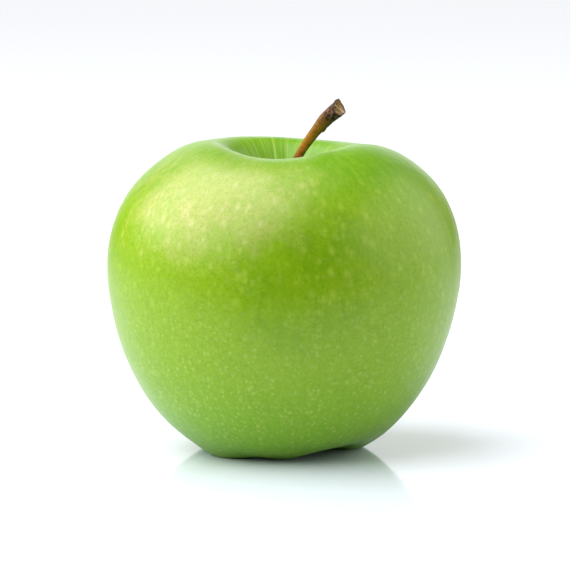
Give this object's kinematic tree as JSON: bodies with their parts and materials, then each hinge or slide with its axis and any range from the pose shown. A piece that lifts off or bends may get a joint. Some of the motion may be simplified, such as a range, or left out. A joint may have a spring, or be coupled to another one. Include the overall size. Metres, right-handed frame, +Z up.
{
  "type": "green apple",
  "caption": "Round green dessert apple with a leaning stalk in its crown cavity, a lobed base and a dried calyx in the eye; stands on small flat feet",
  "frame": {"origin": "On the surface the apple stands on, under the middle of the whole part's bounding box.", "axes": "+Z is up, along the core from the eye to the stalk. +X is the side that the stalk leans to. -Y is the front."},
  "size_m": [0.08, 0.08, 0.0796],
  "materials": {
    "apple_skin": "waxy green skin with pale lenticels",
    "stalk_bark": "rough brown bark, greenish on one side",
    "dried_sepal": "withered, matt",
    "dried_stamens": "withered threads, matt"
  },
  "bodies": {
    "root": {"fruit": "apple_skin", "stem": "stalk_bark", "sepal_1": "dried_sepal", "sepal_2": "dried_sepal", "sepal_3": "dried_sepal", "sepal_4": "dried_sepal", "sepal_5": "dried_sepal", "stamens": "dried_stamens"}
  },
  "joints": []
}
